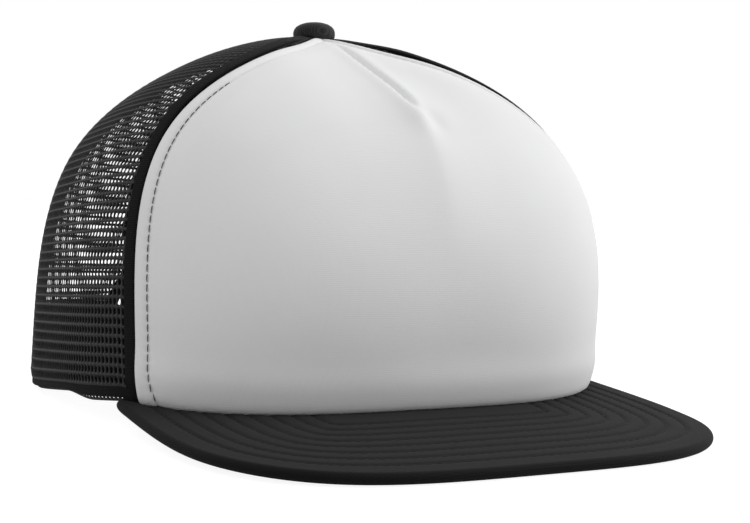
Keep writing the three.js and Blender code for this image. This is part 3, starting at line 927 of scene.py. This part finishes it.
def blank_label():
    angle = np.radians(np.linspace(*LABEL_ANGLES, 24))[None, :]
    level = level_at_height(angle, np.linspace(*LABEL_HEIGHTS, 20)[:, None])
    ripple = 0.15 * np.sin(angle * 40)
    band = BAND_DEPTH + BAND_THICKNESS
    outer, inner = (crown_at(angle, level, band + behind + ripple) for behind in (0.55, 1.0))
    points, faces = closed_sheet(outer, inner)
    piece("blank_woven_label", points, faces, LABEL, replaces=["blank_label"])


# ---------- bill ----------

def bill_at(x, y, height):
    """A point of the bill: x, y from above and a height over its top plane."""
    x, y, height = np.broadcast_arrays(x, y, height)
    height = height - BILL_SAG * (x / BILL_HALF_WIDTH) ** 2 * (1 - 0.8 * smooth_step(-y, 110, 150))
    z = (y - BILL_HINGE_Y) * math.tan(BILL_TILT) + height * math.cos(BILL_TILT) - BILL_DROP
    return np.stack([x, y - height * math.sin(BILL_TILT), z], -1)


def bill_outline(count):
    """The bill's edge from its left rear corner round the front to the right, evenly spaced."""
    turn = np.linspace(0, math.pi, 720)
    power = 2 / BILL_SQUARENESS
    x = BILL_HALF_WIDTH * np.sign(np.cos(turn)) * np.abs(np.cos(turn)) ** power
    y = BILL_CORNER_Y - (BILL_REACH + BILL_CORNER_Y) * np.sin(turn) ** power
    corner = np.linspace(1, 0, 14)[:-1]
    corner_x = BILL_HALF_WIDTH - 1.2 * (1 - np.sqrt(1 - corner ** 2))
    corner_y = BILL_CORNER_Y + (BILL_REAR_Y - BILL_CORNER_Y) * corner
    x = np.concatenate([corner_x, x, -corner_x[::-1]])
    y = np.concatenate([corner_y, y, corner_y[::-1]])
    return resampled(x, y, count)


def bill_root(count):
    """The bill's rear edge under the crown, from left to right."""
    # Steps back and forth to the angle where the root meets the bill's rear line.
    end, step = 1.0, 0.01
    for _ in range(40):
        rear = edge_radius(end) - BILL_ROOT_INSET
        end += step if -rear * math.cos(end) < BILL_REAR_Y else -step
    angle = np.linspace(end, -end, 400)
    radius = edge_radius(angle) - BILL_ROOT_INSET
    return resampled(radius * np.sin(angle), np.minimum(-radius * np.cos(angle), BILL_REAR_Y), count)


def inward(outline):
    """Unit vectors pointing in from the outline."""
    along = np.gradient(outline, axis=0)
    along /= np.linalg.norm(along, axis=-1, keepdims=True)
    return np.stack([along[:, 1], -along[:, 0]], -1)


def quilt_relief(flat):
    """Height of the cloth at points of the bill, pressed in along the quilted rows."""
    outline = bill_outline(900)[::2]
    distance = np.sqrt(((flat[:, :, None, :] - outline[None, None]) ** 2).sum(-1)).min(2)
    phase = (distance - QUILT_FIRST) / QUILT_PITCH
    inside = (distance > QUILT_FIRST - 3) & (phase < QUILT_ROWS - 0.5)
    groove = np.where(inside, bell((phase - np.round(phase)) * QUILT_PITCH, 0, 0.8), 0)
    return -QUILT_DEPTH * groove * smooth_step(distance, BILL_THICKNESS / 2, BILL_THICKNESS / 2 + 2.5)


def bill_grid(columns, rows, side):
    """Surface of the bill's top (side 1) or under (side -1) cloth: rolled edge, then quilted rows."""
    outline = bill_outline(columns)
    normal = inward(outline)
    radius = BILL_THICKNESS / 2
    turns = np.radians(np.linspace(-35, 90, 12))[:, None]
    start = outline + normal * radius
    v = np.linspace(0, 1, rows)[1:, None, None]
    flat = start[None] + (bill_root(columns) - start)[None] * v
    rolled = outline[None] + normal[None] * (radius * (1 - np.cos(turns)))[..., None]
    unrolled = outline[None] + normal[None] * (radius * (1 - (math.pi / 2 - turns)))[..., None]
    roll_height = np.repeat(-radius + radius * np.sin(turns), columns, 1)
    height = np.concatenate([roll_height, quilt_relief(flat)])
    if side < 0:
        height = -BILL_THICKNESS - height
    xy = np.concatenate([rolled, flat])
    cloth = np.concatenate([unrolled, flat])
    cloth = np.concatenate([cloth, np.zeros(cloth.shape[:2] + (1,))], -1)
    return bill_at(xy[..., 0], xy[..., 1], height), cloth.reshape(-1, 3)


def bill():
    for place, side in (("top", 1), ("under", -1)):
        points, cloth = bill_grid(281, 90, side)
        faces = grid_faces(*points.shape[:2], flip=side > 0)
        made = piece(f"bill_{place}_cloth", points.reshape(-1, 3), faces, BILL_CLOTH,
                     replaces=[f"bill_{place}_fabric"], cloth=cloth)
        thickened(made, 0.6)
    board()
    quilt_stitches("bill_top_stitches", 1)
    quilt_stitches("bill_under_stitches", -1)


def board():
    """The stiff board between the bill's cloths."""
    outline, root = bill_outline(161), bill_root(161)
    start = outline + inward(outline) * 1.1
    back = root + (start - root) / np.linalg.norm(start - root, axis=-1, keepdims=True) * 0.8
    xy = start[None] + (back - start)[None] * np.linspace(0, 1, 30)[:, None, None]
    outer, inner = (bill_at(xy[..., 0], xy[..., 1], height) for height in BOARD_HEIGHTS)
    points, faces = closed_sheet(outer, inner)
    piece("bill_board_sheet", points, faces[:, ::-1], BOARD, replaces=["bill_board"])


def quilt_line(outline, offset):
    """The part of a row, an offset in from the edge, that shows in front of the crown."""
    line = outline + inward(outline) * offset
    clear = np.hypot(line[:, 0], line[:, 1]) > edge_radius(np.arctan2(line[:, 0], -line[:, 1])) - 1.0
    gap = np.sqrt(((line[:, None] - outline[None, ::4]) ** 2).sum(-1)).min(1)
    return line[clear & (gap > offset - 0.4)]


def quilt_stitches(name, side):
    height = -0.38 if side > 0 else -BILL_THICKNESS + 0.38
    outline = bill_outline(1200)
    centres, alongs = [], []
    for row in range(QUILT_ROWS):
        line = quilt_line(outline, QUILT_FIRST + QUILT_PITCH * row)
        run = lengths(line)
        places = np.arange(1.5, run[-1] - 1.5, STITCH_PITCH)
        here, ahead = (np.stack([np.interp(p, run, line[:, k]) for k in (0, 1)]) for p in (places, places + 0.5))
        centres.append(bill_at(*here, height))
        alongs.append(bill_at(*ahead, height) - centres[-1])
    centres, along = np.concatenate(centres), np.concatenate(alongs)
    along /= np.linalg.norm(along, axis=-1, keepdims=True)
    up = np.array([0, -math.sin(BILL_TILT), math.cos(BILL_TILT)]) * side
    normals = np.broadcast_to(up, centres.shape)
    stitches(name, centres, along, normals, BLACK_THREAD, 0.15)


# ---------- button ----------

def button():
    """The covered button, finely pleated where its cloth is gathered under."""
    turns = np.linspace(0, 2 * math.pi, 97)[:-1]
    outline = np.array(BUTTON_OUTLINE)
    fine = np.linspace(0, len(outline) - 1, 48)
    radii, heights = (np.interp(fine, np.arange(len(outline)), outline[:, k])[:, None] for k in (0, 1))
    radius = radii + 0.06 * np.cos(turns * BUTTON_PLEATS)[None, :] * fade(heights, 2.2)
    x, y = radius * np.sin(turns), CROWN_TOP_SHIFT - radius * np.cos(turns)
    points = np.stack([x, y, CROWN_HEIGHT + heights + 0 * radius], -1)
    rows, columns = points.shape[:2]
    faces = grid_faces(rows, columns, wrap=True).tolist()
    faces.append(list(range((rows - 1) * columns, rows * columns)))
    cloth = np.stack([x, y, 0 * radius], -1).reshape(-1, 3)
    # The cover carries the painted highlight: its cloth is painted lighter than the bill's black cloth.
    made = piece("button_cloth_painted_highlight", points.reshape(-1, 3), faces, BUTTON_CLOTH_PAINTED_HIGHLIGHT,
                 replaces=["button_cover"], cloth=cloth)
    thickened(made, 0.5)
    finish_nodes(("button_shell", "button_rivet", "button_washer"), STEEL)


# ---------- strap ----------

def turned(name, outline, centres, sides, body, upright=False, ring=False):
    """One mesh with a shape at each centre: (radius, rise) points turned about Y, or about Z if upright."""
    turns = np.arange(sides) / sides * 2 * math.pi
    radius, rise = np.array(outline, float).T
    across, along = ((0, 1, 0), (0, 0, 1)) if upright else ((0, 0, 1), (0, 1, 0))
    spokes = np.outer(np.cos(turns), (1, 0, 0)) + np.outer(np.sin(turns), across)
    shape = radius[:, None, None] * spokes[None] + rise[:, None, None] * np.array(along, float)
    shape = shape.reshape(-1, 3)
    faces = grid_faces(len(radius), sides, wrap=True).tolist()
    first = np.arange(sides)
    last = first + len(shape) - sides
    if ring:
        faces += np.stack([last, np.roll(last, -1), np.roll(first, -1), first], -1).tolist()
    else:
        faces += [first[::-1].tolist(), last.tolist()]
    if not upright:
        faces = [face[::-1] for face in faces]
    faces = [[v + len(shape) * i for v in face] for i in range(len(centres)) for face in faces]
    piece(name, np.concatenate([shape + np.array(c) for c in centres]), faces, STRAP, body=body)


def straps():
    """Rims round the holes, heads on the pegs, and the plastic that bends beside each sewn root."""
    middle = STRAP_BOTTOM + STRAP_WIDTH / 2
    face, tip = (y + STRAP_THICKNESS / 2 for y in (HOLE_STRAP_Y, PEG_STRAP_Y + PEG_LENGTH))
    rim = [(HOLE_RADIUS + 0.5 + 0.35 * math.cos(t), 0.3 * math.sin(t)) for t in np.arange(8) / 8 * 2 * math.pi]
    holes = [(FIRST_HOLE_X - SNAP_PITCH * i, face, middle) for i in range(SNAP_COUNT)]
    turned("strap_hole_rims", rim, holes, 28, "outer_strap", ring=True)
    knob = [(PEG_RADIUS * 0.8, -0.7), (PEG_RADIUS + 0.2, -0.5), (PEG_RADIUS + 0.25, -0.1), (PEG_RADIUS, 0.35),
            (PEG_RADIUS * 0.6, 0.65), (PEG_RADIUS * 0.15, 0.75)]
    pegs = [(SNAP_PITCH * i - FIRST_PEG_X, tip, middle) for i in range(SNAP_COUNT)]
    turned("strap_peg_heads", knob, pegs, 24, "inner_strap")
    half = [(0.2, 0.3), (0.75, 0.6), (0.85, 1.2)]
    bend = half + [(radius, STRAP_WIDTH - rise) for radius, rise in reversed(half)]
    roots = [(side * (HINGE_POINT.x + ROOT_BEND_OFFSET), HINGE_POINT.y, STRAP_BOTTOM) for side in (1, -1)]
    turned("strap_root_bends", bend, roots, 16, "crown", upright=True)
    finish_nodes(("hole_strap", "peg_strap", "hole_strap_tab", "peg_strap_tab"), STRAP)


# ---------- stage ----------

def floor():
    """Pale paper that looks nearly white and gives a weaker light."""
    paper = Nodes("floor_paper", 0.9, specular=0.1)
    paper.color(paper.noise(3, 2), (0.3, 0.3, 0.3), (0.32, 0.32, 0.32), 0.0, 1.0)
    paper.shader.inputs["Emission Color"].default_value = (1, 1, 1, 1)
    path = paper.add("ShaderNodeLightPath")
    glow = paper.add("ShaderNodeMapRange", {"To Min": FLOOR_LIGHT, "To Max": FLOOR_GLOW})
    paper.link(path.outputs["Is Camera Ray"], glow.inputs["Value"])
    paper.link(glow.outputs[0], paper.shader.inputs["Emission Strength"])
    mesh = bpy.data.meshes.new("floor")
    size = FLOOR_HALF_SIZE
    mesh.from_pydata([(-size, -size, 0), (size, -size, 0), (size, size, 0), (-size, size, 0)], [], [(0, 1, 2, 3)])
    mesh.materials.append(paper.material)
    made = bpy.data.objects.new("floor", mesh)
    bpy.context.scene.collection.objects.link(made)


def studio_air():
    """Studio walls that look white and give a weaker, even light."""
    world = bpy.data.worlds.new("studio_air")
    world.use_nodes = True
    tree = world.node_tree
    seen = tree.nodes["Background"]
    lit = tree.nodes.new("ShaderNodeBackground")
    for background, strength in ((seen, 1.0), (lit, WALL_LIGHT)):
        background.inputs["Color"].default_value = (1, 1, 1, 1)
        background.inputs["Strength"].default_value = strength
    mix = tree.nodes.new("ShaderNodeMixShader")
    path = tree.nodes.new("ShaderNodeLightPath")
    tree.links.new(path.outputs["Is Camera Ray"], mix.inputs["Fac"])
    tree.links.new(lit.outputs[0], mix.inputs[1])
    tree.links.new(seen.outputs[0], mix.inputs[2])
    tree.links.new(mix.outputs[0], tree.nodes["World Output"].inputs["Surface"])
    bpy.context.scene.world = world


def lights():
    for name, place, size, power in LIGHTS:
        data = bpy.data.lights.new(name, "AREA")
        data.energy = power
        data.shape = "DISK"
        data.size = size
        light = bpy.data.objects.new(name, data)
        light.location = place
        light.rotation_mode = "QUATERNION"
        light.rotation_quaternion = (LIGHT_AIM - Vector(place)).to_track_quat("-Z", "Y")
        bpy.context.scene.collection.objects.link(light)


def camera():
    """Perspective view from the wearer's front right, at about the height of the cap's middle."""
    back = Vector((
        math.sin(CAMERA_AZIMUTH) * math.cos(CAMERA_ELEVATION),
        -math.cos(CAMERA_AZIMUTH) * math.cos(CAMERA_ELEVATION),
        math.sin(CAMERA_ELEVATION),
    ))
    right = Vector((math.cos(CAMERA_AZIMUTH), math.sin(CAMERA_AZIMUTH), 0))
    up = back.cross(right)
    rolled_right = right * math.cos(CAMERA_ROLL) + up * math.sin(CAMERA_ROLL)
    rolled_up = up * math.cos(CAMERA_ROLL) - right * math.sin(CAMERA_ROLL)
    rotation = Matrix((rolled_right, rolled_up, back)).transposed().to_4x4()
    data = bpy.data.cameras.new("camera")
    data.sensor_width = 36
    data.lens = CAMERA_LENS
    data.shift_x, data.shift_y = CAMERA_SHIFT
    data.clip_start, data.clip_end = 0.01, 50
    made = bpy.data.objects.new("camera", data)
    made.rotation_mode = "QUATERNION"
    made.location = TO_FRAME @ (CAMERA_TARGET + back * CAMERA_DISTANCE)
    made.rotation_quaternion = (LEAN @ rotation).to_quaternion()
    bpy.context.scene.collection.objects.link(made)
    bpy.context.scene.camera = made


camera()
front_panel()
nets()
seam_strips()
back_seam_strips()
seam_stitches()
top_patch()
lower_hems()
opening_binding()
sweatband()
blank_label()
bill()
button()
straps()
floor()
studio_air()
lights()
bpy.context.scene.view_settings.view_transform = "Standard"
